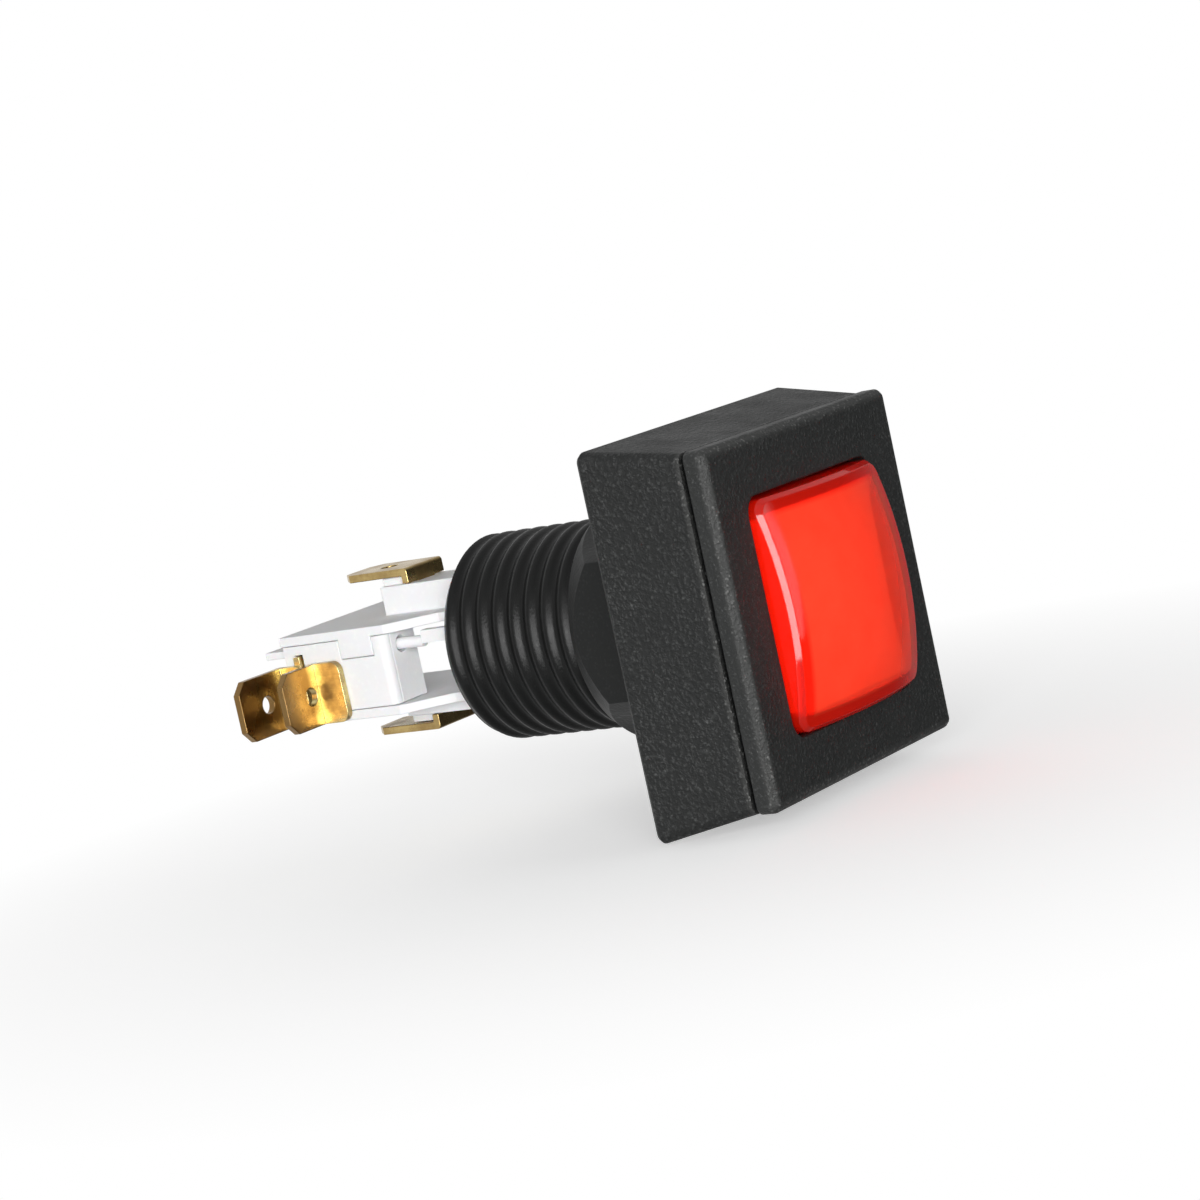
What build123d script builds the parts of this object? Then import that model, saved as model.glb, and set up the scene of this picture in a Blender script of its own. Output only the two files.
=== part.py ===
"""Square illuminated push button for panel mounting, with a plug-in lamp and contact unit behind it.

Frame: the origin is on the button's axis, in the plane where the housing's back meets the panel.
The button faces -Y, the threaded barrel and the terminals run towards +Y, and +Z is up.
"""
import os
from math import atan2, cos, degrees, radians

from build123d import *

os.makedirs("parts", exist_ok=True)

# Housing and barrel
housing_back = 28.9
housing_front = 26.2
housing_depth = 7.8
housing_corner = 0.9
housing_edge = 0.35
housing_floor = 2.2
cavity_size = 20.2
cavity_corner = 1.2
barrel_diameter = 16.0
barrel_length = 20.3
barrel_bore = 12.4
barrel_lead = 0.7

# Front frame
frame_size = 26.3
frame_rise = 2.1
frame_corner = 0.7
frame_bevel = 0.45
frame_groove = 0.35
frame_seat_inset = 0.6
frame_seat_corner = 0.6
frame_window = 17.6
window_corner = 1.4
frame_fit = 0.1

# Button
button_travel = 2.2
stop_gap = 0.1
flange_room = 0.6
cap_clearance = 0.25
cap_corner = 1.2
cap_edge = 0.35
cap_wall = 1.2
cap_crown_radius = 32.0
cap_proud = 2.8
cup_corner = 0.6
cup_fit = 0.1
cup_wall = 0.9
flange_overlap = 0.8
flange_thickness = 1.05
diffuser_thickness = 1.0
diffuser_fit = 0.1
diffuser_drop = 1.9
stem_clearance = 0.3
stem_wall = 0.95
stem_end = 9.4
leg_x = -5.15
leg_z = 1.6
leg_width = 0.9
leg_height = 1.0
leg_gap = 0.15
leg_slot = 0.3

# Lamp and its holder
holder_outer = 3.9
holder_inner = 3.0
holder_setback = 1.2
holder_ring_start = 12.0
holder_ring_thickness = 1.2
holder_fit = 0.05
floor_clearance = 0.25
bulb_radius = 2.6
bulb_nose = 3.6
bulb_gap = 0.2
base_radius = 2.75
base_start = 4.0
base_end = 11.0
base_chamfer = 0.4
solder_tip_radius = 1.0
solder_tip_height = 0.9

# Springs
spring_wire = 0.45
spring_radius = 4.42
spring_turns = 7
spring_runs = 12
spring_seat_gap = 0.1
contact_spring_wire = 0.28
contact_spring_radius = 0.6
contact_spring_turns = 6
contact_spring_runs = 6

# Contact carrier
cage_half_width = 7.2
cage_start = 26.0
cage_end = 36.4
cage_top = 3.15
cage_bottom = -3.95
cage_rear_wall = 0.8
neck_half_width = 4.4
neck_end = 22.6
plate_thickness = 0.75
web_thickness = 1.2
web_end = 25.0
lamp_block_half_width = 2.4
upper_block_height = 5.4
lower_block_height = 5.0
lamp_block_end = 29.2
lamp_seat_step = 0.6
lamp_seat_half_width = 1.9

# Brass parts
tab_width = 4.8
tab_thickness = 0.6
tab_chamfer = 0.9
tab_hole = 1.4
hole_setback = 3.2
blade_half_width = 1.1
blade_gap = 0.05
touch_start = 7.0
touch_ramp = 2.4
tip_contact_top = 0.8
lamp_tab_end = 32.9
lamp_leg_start = 26.3

# Switch module in the left bay of the cage
module_start = 26.1
module_end = 36.2
module_inner_face = -3.3
module_gap = 0.05
module_wall = 0.8
module_rim = 0.5
cover_thickness = 0.8
cover_corner = 0.7
clip_start = 27.4
clip_end = 30.6
clip_bottom = 0.9
clip_depth = 0.35
pin_radius = 0.45
pin_clearance = 0.2
pin_z = 1.25
slider_x = -5.25
slider_half_width = 0.75
slider_start = 27.2
slider_thickness = 1.2
slider_gap = 0.1
slider_top = 1.6
bridge_thickness = 0.4
bridge_half_width = 0.7
rivet_radius = 0.55
rivet_height = 0.3
upper_contact_z = 0.95
closing_gap = 0.05
prong_half_height = 0.6
prong_fit = 0.1
prong_tip_x = -4.6
strip_z = -1.5
strip_corner = 0.8
front_leg_start = 30.6
front_leg_end = 33.6
front_tab_tip = -12.0
rear_leg_start = 34.2
rear_leg_end = 37.0
rear_tab_tip = -13.2
rear_prong_y = 34.8
tongue_end = 38.7
tongue_thickness = 0.6
tongue_z = 1.7
tongue_width = 2.2

# Panel fastening
gasket_outer = 21.2
gasket_fit = 0.1
gasket_recess = 0.8
gasket_proud = 0.3
nut_across_flats = 18.0
nut_height = 4.8
nut_start = 3.0
nut_turn = 26.0
nut_clearance = 0.05
nut_face_radius = 8.5
nut_bevel_slope = 0.7

# How far a cutting tool runs past the face that it opens
overrun = 1.0
near = 0.01


def block(x0, x1, y0, y1, z0, z1):
    """A plain block between two corners."""
    middle = Pos((x0 + x1) / 2, (y0 + y1) / 2, (z0 + z1) / 2)
    return middle * Box(abs(x1 - x0), abs(y1 - y0), abs(z1 - z0))


def rod(radius, y0, y1, x=0.0, z=0.0):
    """A round bar along Y."""
    return Pos(x, (y0 + y1) / 2, z) * Rot(90, 0, 0) * Cylinder(radius, y1 - y0)


def tube(outer, inner, y0, y1):
    """A round tube along Y."""
    return rod(outer, y0, y1) - rod(inner, y0 - overrun, y1 + overrun)


def square_bar(size, corner, y0, y1):
    """A square bar along Y with rounded long edges."""
    outline = Plane.XZ.offset(-y0) * RectangleRounded(size, size, corner)
    return extrude(outline, amount=-(y1 - y0))


def edges_at(solid, y):
    """The edges that lie in the plane across the axis at this y."""
    return solid.edges().filter_by_position(Axis.Y, y - near, y + near)


def coil(radius, wire, y0, y1, turns, runs, x=0.0, z=0.0):
    """An open coil spring between two seats, each turn made of this many straight runs of wire."""
    height = y1 - y0 - wire
    helix = Helix(pitch=height / turns, height=height, radius=radius, direction=(0, 1, 0))
    steps = turns * runs
    path = Polyline(*[helix @ (step / steps) for step in range(steps + 1)])
    section = Plane(origin=path @ 0, z_dir=path % 0) * RegularPolygon(wire / 2, 6)
    return Pos(x, y0 + wire / 2, z) * sweep(section, path, transition=Transition.RIGHT)


def bent_strip(plane, points, width):
    """A flat strip that follows points in a plane, with its width across that plane."""
    strip = None
    for start, end in zip(points, points[1:]):
        line = Line(start, end)
        turn = degrees(atan2(end[1] - start[1], end[0] - start[0]))
        middle = line @ 0.5
        run = Pos(middle.X, middle.Y) * Rot(0, 0, turn) * Box(line.length, tab_thickness, width)
        strip = run if strip is None else strip + run
    for corner in points[1:-1]:
        strip += Pos(*corner) * Cylinder(tab_thickness / 2, width)
    return plane * strip


def keep(node, solid):
    """Write one piece to its own file."""
    solid.label = node
    export_step(solid, f"parts/{node}.step")


barrel_radius = barrel_diameter / 2
bore_radius = barrel_bore / 2

# Bezel housing: one black moulding with the flared square skirt and the barrel, whose thread is
# left at its outer diameter.
inset = (housing_back - housing_front) / 2
far_side = housing_back - inset
middle = (Align.CENTER, Align.MIN, Align.CENTER)
skirt = Wedge(housing_back, housing_depth, housing_back, inset, inset, far_side, far_side, align=middle)
skirt = Rot(180, 0, 0) * skirt
skirt = fillet(edges_at(skirt, -housing_depth / 2), housing_corner)
skirt = chamfer(edges_at(skirt, 0), housing_edge)
barrel = rod(barrel_radius, -housing_floor, barrel_length)
barrel = chamfer(edges_at(barrel, barrel_length), barrel_lead)
pocket_radius = gasket_outer / 2 + gasket_fit
bezel_housing = skirt + barrel
bezel_housing -= square_bar(cavity_size, cavity_corner, -housing_depth - overrun, -housing_floor)
bezel_housing -= rod(bore_radius, -housing_floor - overrun, barrel_length + overrun)
bezel_housing -= rod(pocket_radius, -gasket_recess, overrun) - rod(barrel_radius, -overrun, 2 * overrun)
keep("bezel_housing", bezel_housing)

# Front frame: a square rim that snaps into the housing and keeps the button in. Its spigot ends just
# in front of the button's flange, which has the travel behind it down to the housing's floor.
flange_back = -(housing_floor + flange_room + button_travel)
cap_back = flange_back - flange_thickness
spigot_end = cap_back - stop_gap
frame_face = housing_depth + frame_rise
frame_back = -housing_depth - frame_groove
rim = square_bar(frame_size, frame_corner, -frame_face, frame_back)
rim = chamfer(edges_at(rim, -frame_face), frame_bevel)
seat_size = housing_front - 2 * frame_seat_inset
front_frame = rim + square_bar(seat_size, frame_seat_corner, frame_back, -housing_depth)
front_frame += square_bar(cavity_size - 2 * frame_fit, cavity_corner, -housing_depth, spigot_end)
front_frame -= square_bar(frame_window, window_corner, -frame_face - overrun, spigot_end + overrun)
keep("front_frame", front_frame)

# Lens cap: clear red moulding with a crowned face, a square skirt and an even wall.
cap_size = frame_window - 2 * cap_clearance
cap_inside = cap_size - 2 * cap_wall
crown_top = -frame_face - cap_proud
crown = Pos(0, crown_top + cap_crown_radius, 0)
cap_body = square_bar(cap_size, cap_corner, crown_top, cap_back) & crown * Sphere(cap_crown_radius)
face_edges = cap_body.edges().filter_by_position(Axis.Y, crown_top, -frame_face + overrun)
face_edges = face_edges.filter_by(GeomType.LINE, reverse=True)
cap_body = chamfer(face_edges, cap_edge)
cap_hollow = square_bar(cap_inside, cup_corner, crown_top, cap_back + overrun)
lens_cap = cap_body - (cap_hollow & crown * Sphere(cap_crown_radius - cap_wall))
keep("lens_cap", lens_cap)

# Diffuser plate: white translucent square that lies on the rim of the plunger's cup.
diffuser_front = crown_top + cap_wall + diffuser_drop
diffuser_back = diffuser_front + diffuser_thickness
diffuser_size = cap_inside - 2 * diffuser_fit
keep("diffuser_plate", square_bar(diffuser_size, cup_corner, diffuser_front, diffuser_back))

# Plunger: the cup that carries the cap, a stop flange, the stem in the bore and the leg to the switch.
flange_size = frame_window + 2 * flange_overlap
cup_size = cap_inside - 2 * cup_fit
stem_outer = bore_radius - stem_clearance
stem_inner = stem_outer - stem_wall
leg_left = leg_x - leg_width / 2
leg_right = leg_x + leg_width / 2
leg_low = leg_z - leg_height / 2
leg_high = leg_z + leg_height / 2
leg_end = module_start - button_travel - leg_gap
plunger = square_bar(flange_size, cap_corner, cap_back, flange_back)
plunger += square_bar(cup_size, cup_corner, diffuser_back, cap_back)
plunger -= square_bar(cup_size - 2 * cup_wall, cup_corner, diffuser_back - overrun, cap_back)
plunger -= rod(holder_outer + floor_clearance, cap_back - overrun, flange_back + overrun)
plunger += tube(stem_outer, stem_inner, flange_back, stem_end)
plunger += block(leg_left, leg_right, stem_end - stem_wall, leg_end, leg_low, leg_high)
keep("plunger", plunger)

# Contact carrier: one white moulding with the lamp holder, the neck and the open cage.
# The cage's right bay is empty, and the switch module sits in its left bay.
ring_end = holder_ring_start + holder_ring_thickness
blade_z = cage_top + blade_gap + tab_thickness / 2
lower_blade_z = cage_bottom - blade_gap - tab_thickness / 2
bulb_tip = diffuser_back + button_travel + bulb_gap
lamp_leg_y = lamp_leg_start + tab_thickness / 2
slot_half = blade_half_width + blade_gap
slot_end = lamp_leg_start + tab_thickness + blade_gap
slot_top = blade_z + tab_thickness / 2 + blade_gap
slot_bottom = lower_blade_z - tab_thickness / 2 - blade_gap


def cage_plate(z0, z1):
    """One plate of the cage: a neck in the barrel that widens to the full width behind it."""
    side = [
        (neck_half_width, ring_end),
        (neck_half_width, neck_end),
        (cage_half_width, cage_start),
        (cage_half_width, cage_end),
    ]
    outline = side + [(-x, y) for x, y in reversed(side)]
    face = Plane.XY.offset(z0) * make_face(Polyline(*outline, close=True))
    return extrude(face, amount=z1 - z0)


def lamp_block(level, height, outward):
    """The block on a cage plate that holds a lamp terminal. outward is 1 above and -1 below."""
    half = lamp_block_half_width
    seat = lamp_seat_half_width
    base = block(-half, half, ring_end, lamp_block_end, level, outward * height)
    return base + block(-seat, seat, slot_end, lamp_block_end, level, outward * (height + lamp_seat_step))


def terminal_slot(y0, y1, z0, z1):
    """Room for a lamp terminal's blade inside the carrier."""
    return block(-slot_half, slot_half, y0, y1, z0, z1)


clip_top = cage_top - plate_thickness
carrier = tube(holder_outer, holder_inner, bulb_tip + holder_setback, holder_ring_start)
carrier += tube(bore_radius - holder_fit, holder_inner, holder_ring_start, ring_end)
carrier += cage_plate(clip_top, cage_top)
carrier += cage_plate(cage_bottom, cage_bottom + plate_thickness)
carrier += lamp_block(clip_top, upper_block_height, 1) + lamp_block(cage_bottom, lower_block_height, -1)
carrier += block(-web_thickness / 2, web_thickness / 2, ring_end, web_end, cage_bottom, cage_top)
wall_left = module_inner_face + module_gap
carrier += block(wall_left, cage_half_width, cage_end - cage_rear_wall, cage_end, cage_bottom, cage_top)
clip_right = -cage_half_width + clip_depth
carrier += block(-cage_half_width, clip_right, clip_start, clip_end, clip_bottom, cage_top)
carrier -= block(
    leg_left - leg_slot, leg_right + leg_slot,
    holder_ring_start - overrun, ring_end + overrun,
    leg_low - leg_slot, leg_high + leg_slot,
)
carrier -= terminal_slot(touch_start - blade_gap, slot_end, cage_top, slot_top)
carrier -= terminal_slot(touch_start - blade_gap, ring_end + blade_gap, base_radius, slot_top)
carrier -= terminal_slot(lamp_leg_start - blade_gap, slot_end, cage_top, upper_block_height + overrun)
carrier -= terminal_slot(holder_ring_start - overrun, slot_end, slot_bottom, cage_bottom)
carrier -= terminal_slot(holder_ring_start - overrun, ring_end + blade_gap, slot_bottom, -base_radius)
carrier -= terminal_slot(lamp_leg_start - blade_gap, slot_end, -lower_block_height - overrun, cage_bottom)
keep("contact_carrier", carrier)

# Lamp: a glass bulb on a brass base with a solder tip, in the holder's bore.
bulb_dome = Pos(0, bulb_tip + bulb_nose, 0) * Sphere(bulb_nose)
bulb_shank = rod(bulb_radius, bulb_tip + bulb_nose, base_start)
keep("lamp_bulb", (rod(bulb_radius, bulb_tip, base_start) & bulb_dome) + bulb_shank)
lamp_base = rod(base_radius, base_start, base_end)
lamp_base = chamfer(edges_at(lamp_base, base_end), base_chamfer)
tip_end = base_end + solder_tip_height
keep("lamp_base", lamp_base + rod(solder_tip_radius, base_end, tip_end))

# Lamp terminals: brass strips from the lamp's base through the blocks to the tabs outside.
lamp_plane = Plane(origin=(0, 0, 0), x_dir=(0, 1, 0), z_dir=(1, 0, 0))


def lamp_terminal(height, outward, inner_points):
    """A lamp terminal on the block of this height. outward is 1 for the upper one and -1 for the lower."""
    tab_z = outward * (height + lamp_seat_step + blade_gap + tab_thickness / 2)
    root = (lamp_leg_y, outward * (height + blade_gap))
    bend = (lamp_leg_y, tab_z)
    end = (lamp_tab_end, tab_z)
    tab = bent_strip(lamp_plane, [root, bend, end], tab_width)
    corners = tab.edges().filter_by(Axis.Z)
    corners = corners.filter_by_position(Axis.Y, lamp_tab_end - near, lamp_tab_end + near)
    tab = chamfer(corners, tab_chamfer)
    tab -= Pos(0, lamp_tab_end - hole_setback, tab_z) * Cylinder(tab_hole / 2, tab_width)
    return tab + bent_strip(lamp_plane, inner_points + [root], 2 * blade_half_width)


touch_z = base_radius + blade_gap + tab_thickness / 2
touch_points = [(touch_start, touch_z), (touch_start + touch_ramp, blade_z), (lamp_leg_y, blade_z)]
keep("lamp_terminal_top", lamp_terminal(upper_block_height, 1, touch_points))
tip_y = tip_end + blade_gap + tab_thickness / 2
tip_points = [(tip_y, tip_contact_top), (tip_y, lower_blade_z), (lamp_leg_y, lower_blade_z)]
keep("lamp_terminal_bottom", lamp_terminal(lower_block_height, -1, tip_points))

# Return spring: pushes the plunger's flange away from the ring of the lamp holder.
spring_front = flange_back + spring_seat_gap
spring_back = holder_ring_start - spring_seat_gap
return_spring = coil(spring_radius, spring_wire, spring_front, spring_back, spring_turns, spring_runs)
keep("return_spring", return_spring)

# Switch body: the white case of the snap-in switch module, open on its left side.
module_bottom = cage_bottom + plate_thickness + module_gap
module_top = clip_top - module_gap
cover_left = -cage_half_width
cover_right = cover_left + cover_thickness
room_right = module_inner_face - module_wall
room_front = module_start + module_wall
room_back = module_end - module_wall
room_bottom = module_bottom + module_rim
room_top = module_top - module_rim
switch_body = block(cover_right, module_inner_face, module_start, module_end, module_bottom, module_top)
switch_body -= block(cover_right - overrun, room_right, room_front, room_back, room_bottom, room_top)
switch_body -= rod(pin_radius + pin_clearance, module_start - overrun, room_front + overrun, leg_x, pin_z)
tongue_left = cover_right
switch_body += block(
    tongue_left, tongue_left + tongue_width,
    module_end, tongue_end,
    tongue_z - tongue_thickness / 2, tongue_z + tongue_thickness / 2,
)
keep("switch_body", switch_body)

# Contact slider: the white actuator inside the module, with the pin that the plunger's leg pushes.
slider_end = slider_start + slider_thickness
slider_bottom = room_bottom + slider_gap
slider_left = slider_x - slider_half_width
slider_right = slider_x + slider_half_width
contact_slider = block(slider_left, slider_right, slider_start, slider_end, slider_bottom, slider_top)
contact_slider += rod(pin_radius, leg_end + module_gap, slider_end, leg_x, pin_z)
keep("contact_slider", contact_slider)

# Contact bridge: the brass strip on the slider that joins the two terminals when the button is in.
bridge_end = slider_end + bridge_thickness
bridge_left = slider_x - bridge_half_width
bridge_right = slider_x + bridge_half_width
keep("contact_bridge", block(bridge_left, bridge_right, slider_end, bridge_end, slider_bottom, slider_top))

# Contact rivets: silver, two on the bridge and one opposite each of them on a terminal's prong.
bridge_rivet_end = bridge_end + rivet_height
fixed_front = bridge_rivet_end + button_travel + closing_gap
prong_front = fixed_front + rivet_height
lower_contact_z = slider_bottom + rivet_radius
for place, contact_z in (("lower", lower_contact_z), ("upper", upper_contact_z)):
    keep(f"bridge_contact_{place}", rod(rivet_radius, bridge_end, bridge_rivet_end, slider_x, contact_z))
    keep(f"fixed_contact_{place}", rod(rivet_radius, fixed_front, prong_front, slider_x, contact_z))

# Switch terminals: brass strips that lie on the cover and turn outwards as tabs.
strip_x = cover_left - module_gap - tab_thickness / 2
prong_y = prong_front + tab_thickness / 2


def side_terminal(leg_start, leg_end_y, tab_tip, prong_points, prong_z):
    """A switch terminal: the leg on the cover, the tab that turns outwards and the inner prong."""
    fold = (strip_x, leg_end_y - tab_thickness / 2)
    outside = bent_strip(Plane.XY, [(strip_x, leg_start), fold, (tab_tip, fold[1])], tab_width)
    outside = Pos(0, 0, strip_z) * outside
    tip_edges = outside.edges().filter_by(Axis.Y)
    tip_edges = tip_edges.filter_by_position(Axis.X, tab_tip - near, tab_tip + near)
    outside = chamfer(tip_edges, tab_chamfer)
    leg_edges = outside.edges().filter_by(Axis.X)
    leg_edges = leg_edges.filter_by_position(Axis.Y, leg_start - near, leg_start + near)
    outside = fillet(leg_edges, strip_corner)
    hole = Pos(tab_tip + hole_setback, fold[1], strip_z) * Rot(90, 0, 0) * Cylinder(tab_hole / 2, tab_width)
    prong = Pos(0, 0, prong_z) * bent_strip(Plane.XY, prong_points, 2 * prong_half_height)
    return outside - hole + prong


front_prong = [(strip_x, prong_y), (prong_tip_x, prong_y)]
keep(
    "switch_terminal_front",
    side_terminal(front_leg_start, front_leg_end, front_tab_tip, front_prong, lower_contact_z),
)
prong_return = room_right - blade_gap - tab_thickness / 2
rear_prong = [
    (strip_x, rear_prong_y),
    (prong_return, rear_prong_y),
    (prong_return, prong_y),
    (slider_left, prong_y),
]
keep(
    "switch_terminal_rear",
    side_terminal(rear_leg_start, rear_leg_end, rear_tab_tip, rear_prong, upper_contact_z),
)

# Switch cover: the white plate that closes the module, with slots for the prongs and the clip.
switch_cover = block(cover_left, cover_right, module_start, module_end, module_bottom, module_top)
cover_edge = switch_cover.edges().filter_by(Axis.Z)
cover_edge = cover_edge.filter_by_position(Axis.Y, module_start - near, module_start + near)
cover_edge = cover_edge.filter_by_position(Axis.X, cover_left - near, cover_left + near)
switch_cover = fillet(cover_edge, cover_corner)
switch_cover -= block(
    cover_left - overrun, clip_right + module_gap,
    clip_start - module_gap, clip_end + module_gap,
    clip_bottom - module_gap, module_top + overrun,
)
for prong_level, prong_z in ((prong_y, lower_contact_z), (rear_prong_y, upper_contact_z)):
    switch_cover -= block(
        cover_left - overrun, cover_right + overrun,
        prong_level - tab_thickness / 2 - prong_fit, prong_level + tab_thickness / 2 + prong_fit,
        prong_z - prong_half_height - prong_fit, prong_z + prong_half_height + prong_fit,
    )
keep("switch_cover", switch_cover)

# Contact spring: pushes the bridge and slider back to the front of the module.
spring_z = (lower_contact_z + upper_contact_z) / 2
spring_room = (bridge_end + module_gap, room_back - module_gap)
contact_spring = coil(
    contact_spring_radius, contact_spring_wire, *spring_room,
    contact_spring_turns, contact_spring_runs, slider_x, spring_z,
)
keep("contact_spring", contact_spring)

# Sealing gasket: a black rubber ring in the recess of the housing's back.
gasket_inner = barrel_radius + nut_clearance
gasket_tube = rod(gasket_outer / 2, -gasket_recess, gasket_proud)
keep("sealing_gasket", gasket_tube - rod(gasket_inner, -gasket_recess - overrun, gasket_proud + overrun))

# Mounting nut: a black hexagon, bevelled on its rear side, at the outer diameter of the thread.
hexagon = Rot(0, 0, nut_turn) * RegularPolygon(nut_across_flats / 2, 6, major_radius=False)
nut_body = extrude(Plane.XZ.offset(-nut_start) * hexagon, amount=-nut_height)
nut_end = nut_start + nut_height
corner_radius = nut_across_flats / 2 / cos(radians(30)) + nut_clearance
bevel_run = (corner_radius - nut_face_radius) / nut_bevel_slope
bevelled = Polyline(
    (0, nut_start),
    (corner_radius, nut_start),
    (corner_radius, nut_end - bevel_run),
    (nut_face_radius, nut_end),
    (0, nut_end),
    close=True,
)
nut_body = nut_body & revolve(make_face(bevelled), Axis.Y)
nut_body -= rod(barrel_radius + nut_clearance, nut_start - overrun, nut_end + overrun)
keep("mounting_nut", nut_body)
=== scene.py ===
"""Looks of a square illuminated push button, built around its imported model.

The button faces -Y, its barrel and terminals run towards +Y, and +Z is up. Sizes are in metres.
"""
from math import cos, pi, radians, sin, tau

import bmesh
import bpy
from mathutils import Matrix, Vector


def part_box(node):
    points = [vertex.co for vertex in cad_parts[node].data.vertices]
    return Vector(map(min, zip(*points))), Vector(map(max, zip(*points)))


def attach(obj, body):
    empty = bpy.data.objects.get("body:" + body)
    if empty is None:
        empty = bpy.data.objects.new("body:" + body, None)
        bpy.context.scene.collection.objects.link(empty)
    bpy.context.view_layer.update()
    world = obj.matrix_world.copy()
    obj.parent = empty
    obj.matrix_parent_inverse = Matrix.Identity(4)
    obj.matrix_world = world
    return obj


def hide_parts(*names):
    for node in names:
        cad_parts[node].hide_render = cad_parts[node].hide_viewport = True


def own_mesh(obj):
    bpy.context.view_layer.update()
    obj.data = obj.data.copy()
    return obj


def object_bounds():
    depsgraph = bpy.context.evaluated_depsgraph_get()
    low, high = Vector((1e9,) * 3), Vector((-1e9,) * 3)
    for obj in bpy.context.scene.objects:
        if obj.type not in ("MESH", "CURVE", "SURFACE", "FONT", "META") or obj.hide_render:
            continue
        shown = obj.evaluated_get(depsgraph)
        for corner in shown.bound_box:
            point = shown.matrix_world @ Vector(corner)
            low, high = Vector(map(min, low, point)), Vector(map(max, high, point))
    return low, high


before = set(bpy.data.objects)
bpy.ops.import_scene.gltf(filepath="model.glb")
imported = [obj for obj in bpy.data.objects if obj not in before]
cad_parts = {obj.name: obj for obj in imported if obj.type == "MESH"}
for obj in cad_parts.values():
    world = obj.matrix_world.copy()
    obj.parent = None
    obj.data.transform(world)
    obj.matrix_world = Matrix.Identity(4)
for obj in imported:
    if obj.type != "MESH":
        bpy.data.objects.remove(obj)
cad_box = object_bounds()

# Camera: a long lens to the left of the button and a little above it, leaning to its side, as the
# photograph was taken. Its distance and focal length come from the sizes of the bezel and barrel.
mm = 0.001
view_azimuth = radians(-54.604)
view_elevation = radians(6.59)
view_roll = radians(-12.259)
view_distance = 276.85 * mm
view_shift = (8.926 * mm, -0.618 * mm)
focal_pixels = 3729.07
photo_pixels = 1200
sensor_width = 36.0

backward = Vector((
    sin(view_azimuth) * cos(view_elevation),
    -cos(view_azimuth) * cos(view_elevation),
    sin(view_elevation),
))
level = Vector((cos(view_azimuth), sin(view_azimuth), 0))
upright = backward.cross(level)
rightward = cos(view_roll) * level + sin(view_roll) * upright
upward = -sin(view_roll) * level + cos(view_roll) * upright
lens_place = view_distance * backward - view_shift[0] * rightward - view_shift[1] * upward

camera_data = bpy.data.cameras.new("photo_camera")
camera_data.sensor_width = sensor_width
camera_data.lens = focal_pixels / photo_pixels * sensor_width
camera_data.clip_start = 0.01
camera_data.clip_end = 10.0
camera = bpy.data.objects.new("photo_camera", camera_data)
turn = Matrix((rightward, upward, backward)).transposed().to_4x4()
camera.matrix_world = Matrix.Translation(lens_place) @ turn
bpy.context.scene.collection.objects.link(camera)
bpy.context.scene.camera = camera

# Studio: three large soft lamps and a white surround. The main lamp stands beside the camera, so the
# left faces are the brightest. The part of the surround that metal and gloss mirror is bright at the
# left rear and dark at the right front, which gives the brass its depth.
surround_light = 0.46
overhead_light = 0.1
overhead_span = (0.1, 0.8)
straight_up = Vector((0, 0, 1))
shine_dark = 0.06
shine_bright = 1.0
shine_span = (-0.75, 0.3)
shine_side = Vector((-0.5, 0.8, 0.3)).normalized()

bpy.context.scene.view_settings.view_transform = "Standard"


def wire(tree, source, target):
    """Join an output socket to an input socket."""
    tree.links.new(source, target)


def calculate(tree, operation, first, second=0.0):
    """The result of a sum on a socket and, where the sum takes one, a second socket or number."""
    node = tree.nodes.new("ShaderNodeMath")
    node.operation = operation
    wire(tree, first, node.inputs[0])
    if isinstance(second, (int, float)):
        node.inputs[1].default_value = second
    else:
        wire(tree, second, node.inputs[1])
    return node.outputs[0]


def spread(tree, value, low, high, start=0.0, end=1.0):
    """The value moved from its own range into the range from start to end."""
    node = tree.nodes.new("ShaderNodeMapRange")
    node.inputs["From Min"].default_value = low
    node.inputs["From Max"].default_value = high
    node.inputs["To Min"].default_value = start
    node.inputs["To Max"].default_value = end
    wire(tree, value, node.inputs["Value"])
    return node.outputs["Result"]


def seen_directly(tree):
    """1 for what the camera sees, also through clear plastic, and 0 for light on other things."""
    ray = tree.nodes.new("ShaderNodeLightPath").outputs
    return calculate(tree, "MAXIMUM", ray["Is Camera Ray"], ray["Is Transmission Ray"])


def studio_lamp(name, towards, distance, size, power, mirrored=True):
    """A square area lamp that stands in this direction and looks at the button."""
    lamp_data = bpy.data.lights.new(name, "AREA")
    lamp_data.shape = "SQUARE"
    lamp_data.size = size
    lamp_data.energy = power
    lamp = bpy.data.objects.new(name, lamp_data)
    lamp.visible_glossy = mirrored
    place = Vector(towards).normalized() * distance
    lamp.location = place
    lamp.rotation_euler = place.to_track_quat("Z", "Y").to_euler()
    bpy.context.scene.collection.objects.link(lamp)


studio_lamp("main_lamp", (-1.0, -0.62, 0.06), distance=0.55, size=0.35, power=5.1)
studio_lamp("front_lamp", (0.2, -1.0, 0.1), distance=0.6, size=0.4, power=1.2)
studio_lamp("rear_lamp", (0.9, 0.9, 0.12), distance=0.6, size=0.4, power=1.3, mirrored=False)

world = bpy.data.worlds.new("white_studio")
bpy.context.scene.world = world
world.use_nodes = True
sky = world.node_tree
sky_shader = sky.nodes["Background"]
sky_shader.inputs["Color"].default_value = (1, 1, 1, 1)
sky_mirrored = sky.nodes.new("ShaderNodeLightPath").outputs["Is Glossy Ray"]
sky_place = sky.nodes.new("ShaderNodeTexCoord").outputs["Generated"]


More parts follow.
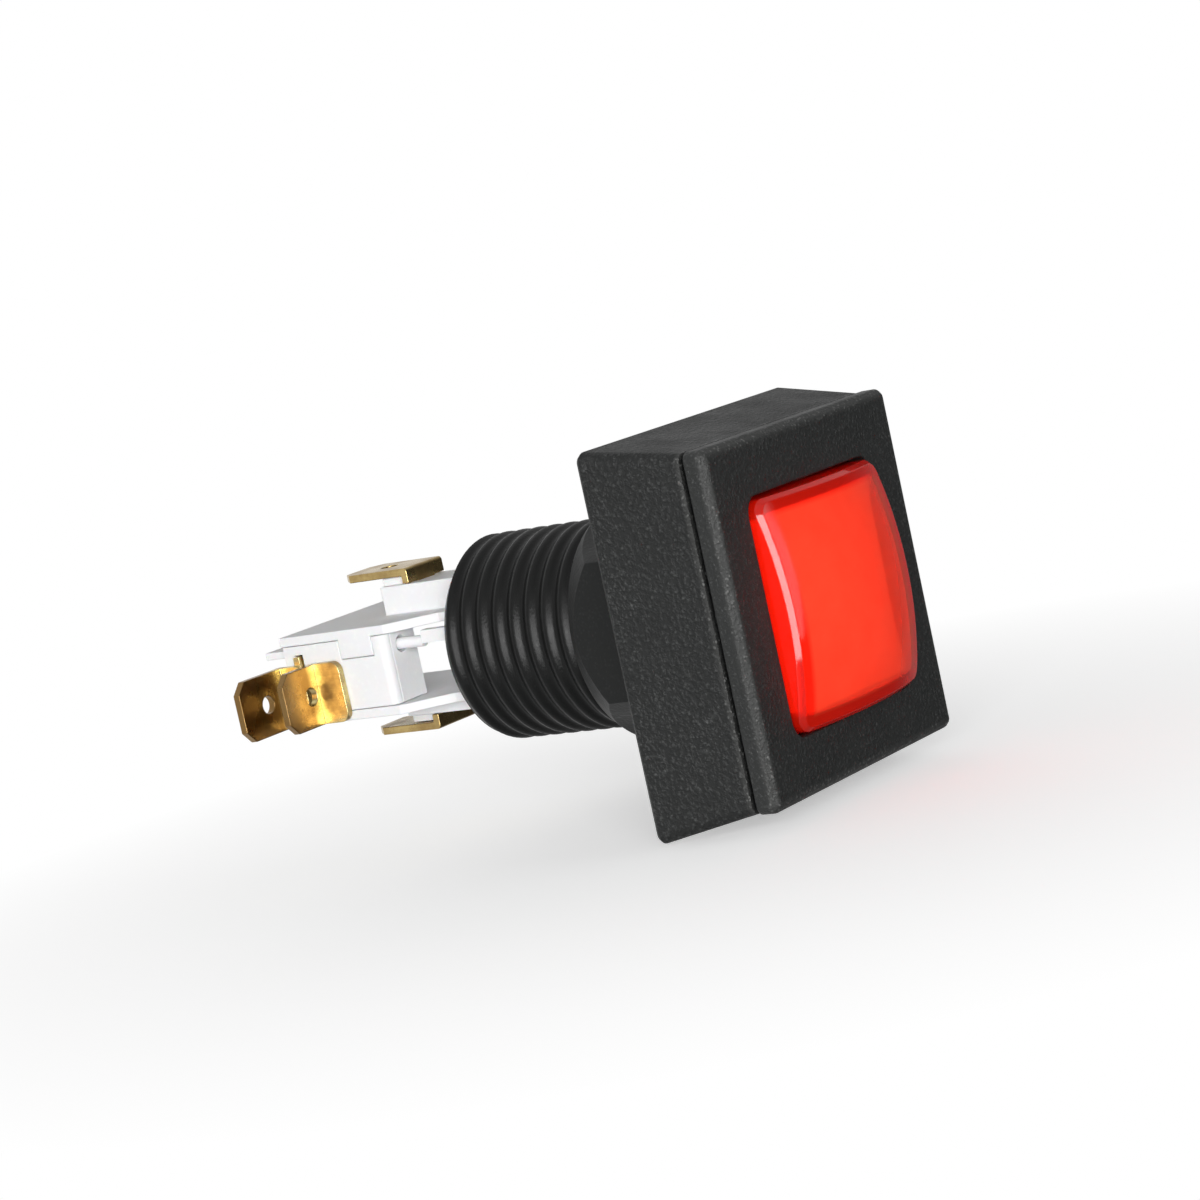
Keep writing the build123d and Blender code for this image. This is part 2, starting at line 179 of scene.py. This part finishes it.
def sky_towards(way):
    """How far a direction of the surround points this way, from -1 to 1."""
    along = sky.nodes.new("ShaderNodeVectorMath")
    along.operation = "DOT_PRODUCT"
    along.inputs[1].default_value = way
    wire(sky, sky_place, along.inputs[0])
    return along.outputs["Value"]


shine = spread(sky, sky_towards(shine_side), *shine_span, shine_dark, shine_bright)
around = spread(sky, sky_towards(straight_up), *overhead_span, surround_light, overhead_light)
plain_level = calculate(sky, "MAXIMUM", around, seen_directly(sky))
sky_level = sky.nodes.new("ShaderNodeMix")
wire(sky, sky_mirrored, sky_level.inputs["Factor"])
wire(sky, plain_level, sky_level.inputs["A"])
wire(sky, shine, sky_level.inputs["B"])
wire(sky, sky_level.outputs["Result"], sky_shader.inputs["Strength"])

# Floor: a plain white table just under the bezel. It carries the button's soft shadow and turns
# into the white background a hand's width away.
floor_drop = 0.4 * mm
floor_size = 4.0
floor_white = 0.9
floor_roughness = 0.9
floor_glow = 0.4
shadow_reach = 18 * mm
white_reach = 80 * mm

floor_form = bmesh.new()
bmesh.ops.create_grid(floor_form, x_segments=1, y_segments=1, size=floor_size)
bmesh.ops.translate(floor_form, verts=floor_form.verts, vec=(0, 0, cad_box[0].z - floor_drop))
floor_mesh = bpy.data.meshes.new("studio_floor")
floor_form.to_mesh(floor_mesh)
floor_form.free()
floor = bpy.data.objects.new("studio_floor", floor_mesh)
floor.visible_glossy = False
bpy.context.scene.collection.objects.link(floor)
floor_finish = bpy.data.materials.new("studio_floor")
floor_finish.use_nodes = True
floor_tree = floor_finish.node_tree
floor_shader = floor_tree.nodes["Principled BSDF"]
floor_shader.inputs["Base Color"].default_value = (floor_white, floor_white, floor_white, 1)
floor_shader.inputs["Roughness"].default_value = floor_roughness
floor_shader.inputs["Specular IOR Level"].default_value = 0.0
floor_shader.inputs["Emission Color"].default_value = (1, 1, 1, 1)
floor_seen = seen_directly(floor_tree)
floor_shown = calculate(floor_tree, "MULTIPLY", floor_seen, floor_glow)
wire(floor_tree, floor_shown, floor_shader.inputs["Emission Strength"])
floor_way = floor_tree.nodes.new("ShaderNodeVectorMath")
floor_way.operation = "LENGTH"
wire(floor_tree, floor_tree.nodes.new("ShaderNodeTexCoord").outputs["Object"], floor_way.inputs[0])
floor_far = spread(floor_tree, floor_way.outputs["Value"], shadow_reach, white_reach)
floor_plain = floor_tree.nodes.new("ShaderNodeEmission")
floor_mix = floor_tree.nodes.new("ShaderNodeMixShader")
wire(floor_tree, calculate(floor_tree, "MULTIPLY", floor_seen, floor_far), floor_mix.inputs["Fac"])
wire(floor_tree, floor_shader.outputs["BSDF"], floor_mix.inputs[1])
wire(floor_tree, floor_plain.outputs["Emission"], floor_mix.inputs[2])
wire(floor_tree, floor_mix.outputs["Shader"], floor_tree.nodes["Material Output"].inputs["Surface"])
floor_mesh.materials.append(floor_finish)

# Bezel housing: one black moulding of glass-filled plastic, with the flared skirt, the floor behind
# it and the threaded barrel. The skirt's outside is spark-eroded, and the thread is smooth.
thread_pitch = 1.5 * mm
thread_crest = 8.0 * mm
thread_depth = 0.34 * mm
thread_start = 1.0 * mm
thread_past_end = 1.2 * mm
thread_steps = 64
groove_steps = 6
groove_share = 0.495
groove_top = thread_crest + 0.2 * mm
skirt_rounding = 0.12 * mm
skirt_inside = 10 * mm
smooth_margin = 0.05 * mm
sharp_angle = radians(30)
skirt_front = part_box("bezel_housing")[0].y
skirt_half = 13.1 * mm
black = (0.0046, 0.0052, 0.005)
black_pale = (0.05, 0.052, 0.051)
rim_glint_black = (0.16, 0.16, 0.155)
barrel_dark = (0.004, 0.0042, 0.0041)
peak_glints_shown = 0.8
rubs_shown = 0.3
rubs_polish = 0.12
clouds_dull = 0.08


def form_of(node):
    """A node's solid as a form that can be worked on, with the doubled corners of its faces merged."""
    form = bmesh.new()
    form.from_mesh(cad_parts[node].data)
    bmesh.ops.remove_doubles(form, verts=form.verts, dist=1e-7)
    bmesh.ops.dissolve_limit(form, angle_limit=radians(0.5), verts=form.verts, edges=form.edges)
    return form


def mesh_of(name, form, smooth_angle=radians(34)):
    """A mesh with smooth shading on its rounded stretches."""
    mesh = bpy.data.meshes.new(name)
    form.to_mesh(mesh)
    form.free()
    carried = mesh.attributes.get("custom_normal")
    if carried:
        mesh.attributes.remove(carried)
    mesh.shade_smooth()
    mesh.set_sharp_from_angle(angle=smooth_angle)
    return mesh


def place_piece(name, mesh, body, finishes, replaced=()):
    """Put a finished mesh on its body, in its materials, in place of the solids that it stands for."""
    for finish in finishes:
        mesh.materials.append(finish)
    piece = bpy.data.objects.new(name, mesh)
    bpy.context.scene.collection.objects.link(piece)
    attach(piece, body)
    if replaced:
        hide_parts(*replaced)
    return piece


def new_finish(name, color, roughness, metallic=0.0, specular=0.5):
    """A material with one plain shader, and its tree, shader and place for the marks that follow."""
    finish = bpy.data.materials.new(name)
    finish.use_nodes = True
    tree = finish.node_tree
    shader = tree.nodes["Principled BSDF"]
    shader.inputs["Base Color"].default_value = (*color, 1)
    shader.inputs["Roughness"].default_value = roughness
    shader.inputs["Metallic"].default_value = metallic
    shader.inputs["Specular IOR Level"].default_value = specular
    return finish, tree, shader, tree.nodes.new("ShaderNodeTexCoord").outputs["Object"]


def new_effect(name, inputs, outputs):
    """An empty effect with a place, these numbers to set and these values to give."""
    tree = bpy.data.node_groups.new(name, "ShaderNodeTree")
    tree.interface.new_socket("Place", in_out="INPUT", socket_type="NodeSocketVector")
    for label in inputs:
        tree.interface.new_socket(label, in_out="INPUT", socket_type="NodeSocketFloat")
    for label in outputs:
        tree.interface.new_socket(label, in_out="OUTPUT", socket_type="NodeSocketFloat")
    return tree, tree.nodes.new("NodeGroupInput").outputs, tree.nodes.new("NodeGroupOutput").inputs


def noise(tree, place, grains, detail=2.0, roughness=0.5):
    """Noise with this many grains to a metre."""
    node = tree.nodes.new("ShaderNodeTexNoise")
    node.inputs["Detail"].default_value = detail
    node.inputs["Roughness"].default_value = roughness
    wire(tree, place, node.inputs["Vector"])
    if isinstance(grains, (int, float)):
        node.inputs["Scale"].default_value = grains
    else:
        wire(tree, grains, node.inputs["Scale"])
    return node.outputs["Fac"]


def stretched(tree, place, scale):
    """The place, squeezed along each axis, for marks that are longer one way."""
    node = tree.nodes.new("ShaderNodeMapping")
    node.inputs["Scale"].default_value = scale
    wire(tree, place, node.inputs["Vector"])
    return node.outputs["Vector"]


def add_effect(tree, effect, place, **values):
    """Put an effect in a finish, with the place and its numbers set, and give its outputs."""
    node = tree.nodes.new("ShaderNodeGroup")
    node.node_tree = effect
    wire(tree, place, node.inputs["Place"])
    for label, value in values.items():
        node.inputs[label].default_value = value
    return node.outputs


def tinted(tree, factor, first, second):
    """A colour between two others, each a colour or a socket."""
    node = tree.nodes.new("ShaderNodeMix")
    node.data_type = "RGBA"
    wire(tree, factor, node.inputs["Factor"])
    for label, color in (("A", first), ("B", second)):
        if isinstance(color, tuple):
            node.inputs[label].default_value = (*color, 1)
        else:
            wire(tree, color, node.inputs[label])
    return node.outputs["Result"]


def raise_surface(tree, shader, height, depth):
    """Let a height between 0 and 1 stand up by this depth."""
    bump = tree.nodes.new("ShaderNodeBump")
    bump.inputs["Distance"].default_value = depth
    wire(tree, height, bump.inputs["Height"])
    wire(tree, bump.outputs["Normal"], shader.inputs["Normal"])


# The grain of an eroded mould: its height, and its peaks, which the finishes paint paler as painted
# highlights in place of the glints on them.
eroded_grain, grain_in, grain_out = new_effect("eroded_grain", ["Grains"], ["Height", "Peaks"])
grain_spots = eroded_grain.nodes.new("ShaderNodeTexVoronoi")
wire(eroded_grain, grain_in["Place"], grain_spots.inputs["Vector"])
wire(eroded_grain, grain_in["Grains"], grain_spots.inputs["Scale"])
grain_round = spread(eroded_grain, grain_spots.outputs["Distance"], 0.5, 0.08)
grain_noise = noise(eroded_grain, grain_in["Place"], grain_in["Grains"])
grain_high = spread(eroded_grain, grain_noise, 0.4, 0.66)
grain_peaks = calculate(eroded_grain, "MULTIPLY", grain_round, grain_high)
wire(eroded_grain, calculate(eroded_grain, "ADD", grain_peaks, grain_high), grain_out["Height"])
wire(eroded_grain, grain_peaks, grain_out["Peaks"])

# Marks of moulding and handling: wide clouds where the skin is duller, and thin rubbed lines.
cloud_grains = 320
rub_stretch = (5200, 420, 2100)
handled, handled_in, handled_out = new_effect("handled_marks", [], ["Clouds", "Rubs"])
cloud_noise = noise(handled, handled_in["Place"], cloud_grains, detail=3.0)
rub_noise = noise(handled, stretched(handled, handled_in["Place"], rub_stretch), 1.0, detail=1.0)
wire(handled, spread(handled, cloud_noise, 0.35, 0.65), handled_out["Clouds"])
wire(handled, spread(handled, rub_noise, 0.66, 0.76), handled_out["Rubs"])

# The painted highlight on the square outer rim of a front face, half as wide as Half and at Front on Y, out
# to this reach: paler colour in place of the glint on the rounded edge.
rim_glint, rim_in, rim_out = new_effect("rim_glint", ["Half", "Front", "Reach"], ["Rim"])
rim_place = rim_glint.nodes.new("ShaderNodeSeparateXYZ")
wire(rim_glint, rim_in["Place"], rim_place.inputs["Vector"])
rim_sides = [calculate(rim_glint, "ABSOLUTE", rim_place.outputs[way]) for way in "XZ"]
rim_side = calculate(rim_glint, "SUBTRACT", calculate(rim_glint, "MAXIMUM", *rim_sides), rim_in["Half"])
rim_deep = calculate(rim_glint, "SUBTRACT", rim_place.outputs["Y"], rim_in["Front"])
rim_squares = [calculate(rim_glint, "MULTIPLY", way, way) for way in (rim_side, rim_deep)]
rim_far = calculate(rim_glint, "SQRT", calculate(rim_glint, "ADD", *rim_squares))
rim_share = calculate(rim_glint, "DIVIDE", rim_far, rim_in["Reach"])
wire(rim_glint, spread(rim_glint, rim_share, 1.0, 0.3), rim_out["Rim"])


def moulded_finish(name, dark, pale, roughness, specular, grains, depth, rim=None):
    """A moulded plastic or rubber skin: grained, a little uneven in gloss, and rubbed here and there.

    A rim is given by its half width, its place on Y, its reach and the colour of its painted highlight.
    """
    finish, tree, shader, place = new_finish(name, dark, roughness, specular=specular)
    grain = add_effect(tree, eroded_grain, place, Grains=grains)
    marks = add_effect(tree, handled, place)
    # Painted highlight: the grain peaks are paler, in place of the glints that catch the light on them.
    glint_grained = tinted(tree, calculate(tree, "MULTIPLY", grain["Peaks"], peak_glints_shown), dark, pale)
    rubbed = tinted(tree, calculate(tree, "MULTIPLY", marks["Rubs"], rubs_shown), glint_grained, pale)
    # A rim gets a painted highlight: a paler band along the rounded front edge, paler still on the grain
    # peaks.
    if rim:
        half, front, reach, rim_glint_color = rim
        rim_glinting = add_effect(tree, rim_glint, place, Half=half, Front=front, Reach=reach)["Rim"]
        rim_glint_peaks = spread(tree, grain["Peaks"], 0.1, 0.7, 0.15, 0.85)
        rubbed = tinted(tree, calculate(tree, "MULTIPLY", rim_glinting, rim_glint_peaks), rubbed, rim_glint_color)
    wire(tree, rubbed, shader.inputs["Base Color"])
    dullness = calculate(tree, "SUBTRACT", marks["Clouds"], marks["Rubs"])
    uneven = spread(tree, dullness, -1.0, 1.0, roughness - rubs_polish, roughness + clouds_dull)
    wire(tree, uneven, shader.inputs["Roughness"])
    raise_surface(tree, shader, grain["Height"], depth)
    return finish


# The skirt's front rim carries a painted highlight.
skirt_black = moulded_finish(
    "skirt_black", black, black_pale, roughness=0.55, specular=0.3, grains=2900, depth=0.05 * mm,
    rim=(skirt_half, skirt_front, 0.45 * mm, rim_glint_black),
)
barrel_black = moulded_finish(
    "barrel_black", barrel_dark, black, roughness=0.36, specular=0.17, grains=4200, depth=0.004 * mm,
)


def thread_cutter(start, end):
    """The space between the rounded ridges of the thread, as one closed winding groove."""
    outline = [(-thread_pitch * groove_share, groove_top)]
    for step in range(-groove_steps, groove_steps + 1):
        across = step / groove_steps
        depth_here = thread_depth * (1 + cos(pi * across)) / 2
        outline.append((across * thread_pitch * groove_share, thread_crest - depth_here))
    outline.append((thread_pitch * groove_share, groove_top))
    cutter = bmesh.new()
    corners = [cutter.verts.new((0, start + y, r)) for y, r in outline]
    profile = cutter.faces.new(corners)
    turns = (end - start) / thread_pitch
    steps = round(turns * thread_steps)
    bmesh.ops.spin(
        cutter,
        geom=[profile, *profile.edges, *profile.verts],
        cent=(0, 0, 0),
        axis=(0, 1, 0),
        dvec=(0, (end - start) / steps, 0),
        angle=turns * tau,
        steps=steps,
    )
    bmesh.ops.recalc_face_normals(cutter, faces=cutter.faces)
    return cutter


def cut_away(form, tool, name):
    """The form with the tool's space cut out of it."""
    block_mesh = bpy.data.meshes.new(name)
    form.to_mesh(block_mesh)
    form.free()
    tool_mesh = bpy.data.meshes.new(f"{name}_tool")
    tool.to_mesh(tool_mesh)
    tool.free()
    block = bpy.data.objects.new(name, block_mesh)
    tool_object = bpy.data.objects.new(f"{name}_tool", tool_mesh)
    bpy.context.scene.collection.objects.link(block)
    bpy.context.scene.collection.objects.link(tool_object)
    cut = block.modifiers.new("cut", "BOOLEAN")
    cut.operation = "DIFFERENCE"
    cut.solver = "EXACT"
    cut.object = tool_object
    settled = block.evaluated_get(bpy.context.evaluated_depsgraph_get())
    shaped = bpy.data.meshes.new_from_object(settled)
    bpy.data.objects.remove(block)
    bpy.data.objects.remove(tool_object)
    result = bmesh.new()
    result.from_mesh(shaped)
    return result


def round_edges(form, width, segments, wanted):
    """Round the sharp outer edges of a form that the test accepts."""
    edges = [
        edge for edge in form.edges
        if edge.is_manifold and edge.calc_face_angle_signed(0) > sharp_angle and wanted(edge)
    ]
    bmesh.ops.bevel(
        form, geom=edges, offset=width, segments=segments, profile=0.5, material=-1,
        affect="EDGES", clamp_overlap=True,
    )


def away_from_axis(edge):
    """Whether both ends of an edge are out at the skirt, away from the barrel and its bore."""
    return min(Vector((corner.co.x, corner.co.z)).length for corner in edge.verts) > skirt_inside


def even_shading(piece):
    """Keep the flat faces flat where they meet rounded edges."""
    even = piece.modifiers.new("even_shading", "WEIGHTED_NORMAL")
    even.keep_sharp = True


barrel_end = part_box("bezel_housing")[1].y
blank = form_of("bezel_housing")
round_edges(blank, skirt_rounding, 3, away_from_axis)
groove = thread_cutter(thread_start, barrel_end + thread_past_end)
housing_form = cut_away(blank, groove, "housing_blank")
for face in housing_form.faces:
    middle = face.calc_center_median()
    off_axis = Vector((middle.x, middle.z)).length
    face.material_index = int(off_axis < thread_crest + smooth_margin and middle.y > smooth_margin)
housing = place_piece(
    "housing_threaded", mesh_of("housing_threaded", housing_form), "root",
    [skirt_black, barrel_black], ["bezel_housing"],
)
even_shading(housing)

# Gasket: a flat ring of black rubber, pressed into the recess of the housing's back. Its skin is
# matt, with the fine dust that rubber keeps.
rubber_dark = (0.009, 0.009, 0.009)
rubber_dust = (0.04, 0.039, 0.038)
rubber_black = moulded_finish(
    "rubber_black", rubber_dark, rubber_dust, roughness=0.8, specular=0.3, grains=4200, depth=0.02 * mm,
)


def finish_node(node, finish):
    """Give a solid that keeps its own shape its finish."""
    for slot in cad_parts[node].material_slots:
        slot.material = finish


finish_node("sealing_gasket", rubber_black)

# Nut: a black hexagon of smooth moulded plastic, screwed on the barrel from behind. Its rear edge is
# bevelled, and its flats carry faint marks of the spanner.
nut_rounding = 0.14 * mm
nut_pale = (0.016, 0.017, 0.0165)
nut_black = moulded_finish(
    "nut_black", black, nut_pale, roughness=0.5, specular=0.22, grains=3800, depth=0.008 * mm,
)


def softened(node, name, width, segments, finish, body="root", clamp=True):
    """A copy of a solid with its sharp edges rounded, which stands for that solid."""
    piece = place_piece(name, mesh_of(name, form_of(node)), body, [finish], [node])
    rounding = piece.modifiers.new("rounded_edges", "BEVEL")
    rounding.width = width
    rounding.segments = segments
    rounding.limit_method = "ANGLE"
    rounding.angle_limit = radians(31)
    rounding.harden_normals = True
    rounding.use_clamp_overlap = clamp
    return piece


softened("mounting_nut", "nut_rounded", nut_rounding, 3, nut_black)

# Front frame: a black moulding with a finer eroded grain than the skirt, snapped into the housing.
# Its front edges are rounded, and a thin groove is left between it and the skirt.
frame_rounding = 0.16 * mm
frame_front = -9.9 * mm
frame_half = 13.15 * mm
frame_dark = (0.0105, 0.0114, 0.011)
frame_pale = (0.046, 0.048, 0.047)
rim_glint_frame = (0.145, 0.145, 0.141)
# The frame's front rim carries a painted highlight, wider than the skirt's.
frame_black = moulded_finish(
    "frame_black", frame_dark, frame_pale, roughness=0.52, specular=0.34, grains=3600, depth=0.03 * mm,
    rim=(frame_half, frame_front, 0.85 * mm, rim_glint_frame),
)
softened("front_frame", "frame_rounded", frame_rounding, 3, frame_black)

# Plunger: the white moulding that carries the cap, with the stop flange, the stem in the barrel's
# bore and the leg that reaches the switch. It is smooth, so that it slides.
white = (0.83, 0.83, 0.84)
white_pale = (0.88, 0.88, 0.875)
white_plastic = moulded_finish(
    "white_plastic", white, white_pale, roughness=0.46, specular=0.2, grains=1900, depth=0.006 * mm,
)
white_shader = white_plastic.node_tree.nodes["Principled BSDF"]
white_shader.inputs["Subsurface Weight"].default_value = 0.12
white_shader.inputs["Subsurface Scale"].default_value = 0.6 * mm
finish_node("plunger", white_plastic)

# Return spring: drawn steel wire, wound round the lamp tube between the plunger's flange and the
# carrier. The real spring shortens towards its rear end as the button goes in; this one is wound at its
# rest length.
steel = (0.52, 0.52, 0.54)
steel_dark = (0.3, 0.29, 0.28)
wire_sides = 10
wire_steps = 28
wire_smooth_angle = radians(60)
line_stretch = (9000, 700, 9000)
lines_shown = 0.25
tarnish_shown = 0.75
tarnish_dulls = 0.16
end_shade_shown = 0.92

# The marks of rolled, drawn or stamped metal: fine lines along one way, and duller stains.
rolled, rolled_in, rolled_out = new_effect("rolled_metal", ["Stains"], ["Lines", "Tarnish"])
line_noise = noise(rolled, stretched(rolled, rolled_in["Place"], line_stretch), 1.0)
stain_noise = noise(rolled, rolled_in["Place"], rolled_in["Stains"], detail=4.0, roughness=0.6)
wire(rolled, spread(rolled, line_noise, 0.3, 0.7), rolled_out["Lines"])
wire(rolled, spread(rolled, stain_noise, 0.42, 0.68), rolled_out["Tarnish"])


def metal_finish(name, bright, tarnished, roughness, stains, depth, shaded_ends=None):
    """A metal skin with its working lines, and stains that are darker and less glossy.

    Painted shade on the ends is given by the two places on X between which the colour turns, and its dark
    brown colour.
    """
    finish, tree, shader, place = new_finish(name, bright, roughness, metallic=1.0)
    skin = add_effect(tree, rolled, place, Stains=stains)
    lined = tinted(tree, calculate(tree, "MULTIPLY", skin["Lines"], lines_shown), bright, tarnished)
    stained = tinted(tree, calculate(tree, "MULTIPLY", skin["Tarnish"], tarnish_shown), lined, tarnished)
    # Painted shade: a darker brown towards one end along X, in place of shade and dark reflections.
    if shaded_ends:
        start, end, end_shade_color = shaded_ends
        along = tree.nodes.new("ShaderNodeSeparateXYZ")
        wire(tree, place, along.inputs["Vector"])
        end_shaded = spread(tree, along.outputs["X"], start, end, 0.0, end_shade_shown)
        stained = tinted(tree, end_shaded, stained, end_shade_color)
    wire(tree, stained, shader.inputs["Base Color"])
    uneven = spread(tree, skin["Tarnish"], 0.0, 1.0, roughness, roughness + tarnish_dulls)
    wire(tree, uneven, shader.inputs["Roughness"])
    raise_surface(tree, shader, skin["Lines"], depth)
    return finish


drawn_steel = metal_finish(
    "drawn_steel", steel, steel_dark, roughness=0.26, stains=900, depth=0.003 * mm,
)


def coil_form(middle, start, end, coil_radius, wire_radius, turns):
    """A closed round wire wound round a line along +Y."""
    form = bmesh.new()
    bmesh.ops.create_circle(
        form, cap_ends=True, segments=wire_sides, radius=wire_radius,
        matrix=Matrix.Translation((middle[0], start + wire_radius, middle[1] + coil_radius))
        @ Matrix.Rotation(radians(90), 4, "Y"),
    )
    steps = round(turns * wire_steps)
    bmesh.ops.spin(
        form,
        geom=[*form.faces, *form.edges, *form.verts],
        cent=(middle[0], 0, middle[1]),
        axis=(0, 1, 0),
        dvec=(0, (end - start - 2 * wire_radius) / steps, 0),
        angle=turns * tau,
        steps=steps,
    )
    bmesh.ops.recalc_face_normals(form, faces=form.faces)
    return form


def place_spring(name, node, middle, reach, coil_radius, wire_radius, turns):
    """Wind a spring in place of its solid, on a mesh of its own."""
    front, rear = reach
    mesh = mesh_of(name, coil_form(middle, front, rear, coil_radius, wire_radius, turns), wire_smooth_angle)
    spring = place_piece(name, mesh, "root", [drawn_steel], [node])
    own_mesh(spring)


low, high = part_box("return_spring")
place_spring(
    "return_spring_wound", "return_spring", (0, 0), (low.y, high.y),
    coil_radius=4.42 * mm, wire_radius=0.225 * mm, turns=7,
)

# Diffuser: a plate of milky white plastic, held between the cap and the plunger. The lamp stands
# behind its middle, and the plate carries a painted glow in place of the lamp's light: warm and brightest
# in the middle, dimmer towards its edges, seen through the cap.
milky = (0.9, 0.88, 0.86)
milky_dull = (0.84, 0.82, 0.79)
painted_glow = (1.0, 0.9, 0.8)
painted_glow_edge = (0.62, 0.52, 0.44)
painted_glow_span = (2 * mm, 10 * mm)
painted_glow_strength = 0.95
milky_white, milky_tree, milky_shader, milky_place = new_finish("milky_white", milky, 0.5)
milky_marks = add_effect(milky_tree, handled, milky_place)
milky_out = milky_tree.nodes.new("ShaderNodeVectorMath")
milky_out.operation = "LENGTH"
wire(milky_tree, stretched(milky_tree, milky_place, (1, 0, 1)), milky_out.inputs[0])
# Painted glow: emission that fades from the middle towards the edges, standing in for the lamp's light.
painted_glow_fade = spread(milky_tree, milky_out.outputs["Value"], *painted_glow_span)
milky_painted_glow = tinted(milky_tree, painted_glow_fade, painted_glow, painted_glow_edge)
wire(milky_tree, milky_painted_glow, milky_shader.inputs["Emission Color"])
milky_shader.inputs["Emission Strength"].default_value = painted_glow_strength
milky_tint = tinted(milky_tree, milky_marks["Clouds"], milky, milky_dull)
wire(milky_tree, milky_tint, milky_shader.inputs["Base Color"])
finish_node("diffuser_plate", milky_white)

# Cap: one clear red moulding with a crowned face and side walls that clip on the plunger. Its skin
# is polished, with a faint unevenness and fine rubbed lines.
cap_rounding = 0.14 * mm
cap_red = (1.0, 0.085, 0.036)
cap_cloud_red = (0.97, 0.06, 0.022)
cap_wall_shade_red = (1.0, 0.014, 0.003)
cap_window = 7.25 * mm
cap_wall_span = (cap_window - 0.15 * mm, cap_window + 0.35 * mm)
red_clear, red_tree, red_shader, red_place = new_finish("red_clear", cap_red, 0.06, specular=0.1)
red_shader.inputs["Transmission Weight"].default_value = 0.62
red_shader.inputs["IOR"].default_value = 1.49
red_marks = add_effect(red_tree, handled, red_place)
red_clouds = calculate(red_tree, "MULTIPLY", red_marks["Clouds"], 0.3)
red_dull = calculate(red_tree, "MAXIMUM", red_clouds, red_marks["Rubs"])
wire(red_tree, spread(red_tree, red_dull, 0.0, 1.0, 0.05, 0.16), red_shader.inputs["Roughness"])
# Painted shade: the border and side walls are a deeper, darker red than the face, for their depth with no
# glowing diffuser behind them.
red_spot = red_tree.nodes.new("ShaderNodeSeparateXYZ")
wire(red_tree, red_place, red_spot.inputs["Vector"])
red_sides = [calculate(red_tree, "ABSOLUTE", red_spot.outputs[way]) for way in "XZ"]
red_wall_shade = spread(red_tree, calculate(red_tree, "MAXIMUM", *red_sides), *cap_wall_span)
red_cloudy = calculate(red_tree, "MULTIPLY", red_marks["Clouds"], 0.5)
red_face = tinted(red_tree, red_cloudy, cap_red, cap_cloud_red)
wire(red_tree, tinted(red_tree, red_wall_shade, red_face, cap_wall_shade_red), red_shader.inputs["Base Color"])
softened("lens_cap", "cap_rounded", cap_rounding, 3, red_clear, "button")

# Carrier: the white moulding of the plug-in unit, with the lamp tube, the neck, the open cage and
# the lamp's two terminal blocks. It is pushed into the barrel from behind.
white_rounding = 0.09 * mm
softened(
    "contact_carrier", "carrier_rounded", white_rounding, 2, white_plastic, clamp=False,
)

# Lamp: a small glass bulb in a shell of nickel-plated brass with a solder tip. It is plugged into the
# carrier's tube from the front.
nickel = (0.62, 0.6, 0.54)
nickel_dark = (0.38, 0.35, 0.3)
glass = (0.96, 0.975, 0.975)
lamp_nickel = metal_finish(
    "lamp_nickel", nickel, nickel_dark, roughness=0.24, stains=1300, depth=0.004 * mm,
)
finish_node("lamp_base", lamp_nickel)
lamp_glass, glass_tree, glass_shader, glass_place = new_finish("lamp_glass", glass, 0.02)
glass_shader.inputs["Transmission Weight"].default_value = 1.0
glass_shader.inputs["IOR"].default_value = 1.5
glass_marks = add_effect(glass_tree, handled, glass_place)
glass_uneven = spread(glass_tree, glass_marks["Clouds"], 0.0, 1.0, 0.01, 0.06)
wire(glass_tree, glass_uneven, glass_shader.inputs["Roughness"])
finish_node("lamp_bulb", lamp_glass)

# Lamp terminals: two stamped brass strips from the lamp's shell and tip, bent up and turned back as
# blades. Their faces are rolled, a little tarnished, and their edges are cut.
brass_rounding = 0.06 * mm
brass_bright = (0.52, 0.39, 0.165)
brass_brown = (0.24, 0.145, 0.055)
brass = metal_finish("brass", brass_bright, brass_brown, roughness=0.22, stains=420, depth=0.004 * mm)
for end in ("top", "bottom"):
    softened(
        f"lamp_terminal_{end}", f"lamp_blade_{end}", brass_rounding, 2, brass, clamp=False,
    )

# Switch module: a white case and its cover, snapped into the left bay of the cage, with the tongue
# that locks it at the rear.
for node, name in (("switch_body", "module_case"), ("switch_cover", "module_cover")):
    softened(node, name, white_rounding, 2, white_plastic, clamp=False)

# Switch terminals: two brass strips with silver rivets at their inner ends, turned out of the case
# one behind the other as blades. They are brighter than the lamp's, and their outer ends are painted dark
# brown as shade and dark reflection.
blade_bright = (0.7, 0.58, 0.27)
blade_end_shade = (0.19, 0.105, 0.036)
silver = (0.8, 0.79, 0.76)
silver_dark = (0.42, 0.38, 0.33)
blade_brass = metal_finish(
    "blade_brass", blade_bright, brass_brown, roughness=0.22, stains=420, depth=0.004 * mm,
    shaded_ends=(-8.2 * mm, -8.9 * mm, blade_end_shade),
)
for end in ("front", "rear"):
    softened(
        f"switch_terminal_{end}", f"switch_blade_{end}", brass_rounding, 2, blade_brass,
        clamp=False,
    )
contact_silver = metal_finish(
    "contact_silver", silver, silver_dark, roughness=0.2, stains=1600, depth=0.003 * mm,
)
for node in ("fixed_contact_lower", "fixed_contact_upper"):
    finish_node(node, contact_silver)

# Moving contacts: the white slider with its pin, the brass bridge with its two silver rivets, and
# the small spring behind the bridge.
finish_node("contact_slider", white_plastic)
finish_node("contact_bridge", brass)
for node in ("bridge_contact_lower", "bridge_contact_upper"):
    finish_node(node, contact_silver)
low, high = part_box("contact_spring")
place_spring(
    "contact_spring_wound", "contact_spring",
    ((low.x + high.x) / 2, (low.z + high.z) / 2), (low.y, high.y),
    coil_radius=0.6 * mm, wire_radius=0.14 * mm, turns=6,
)
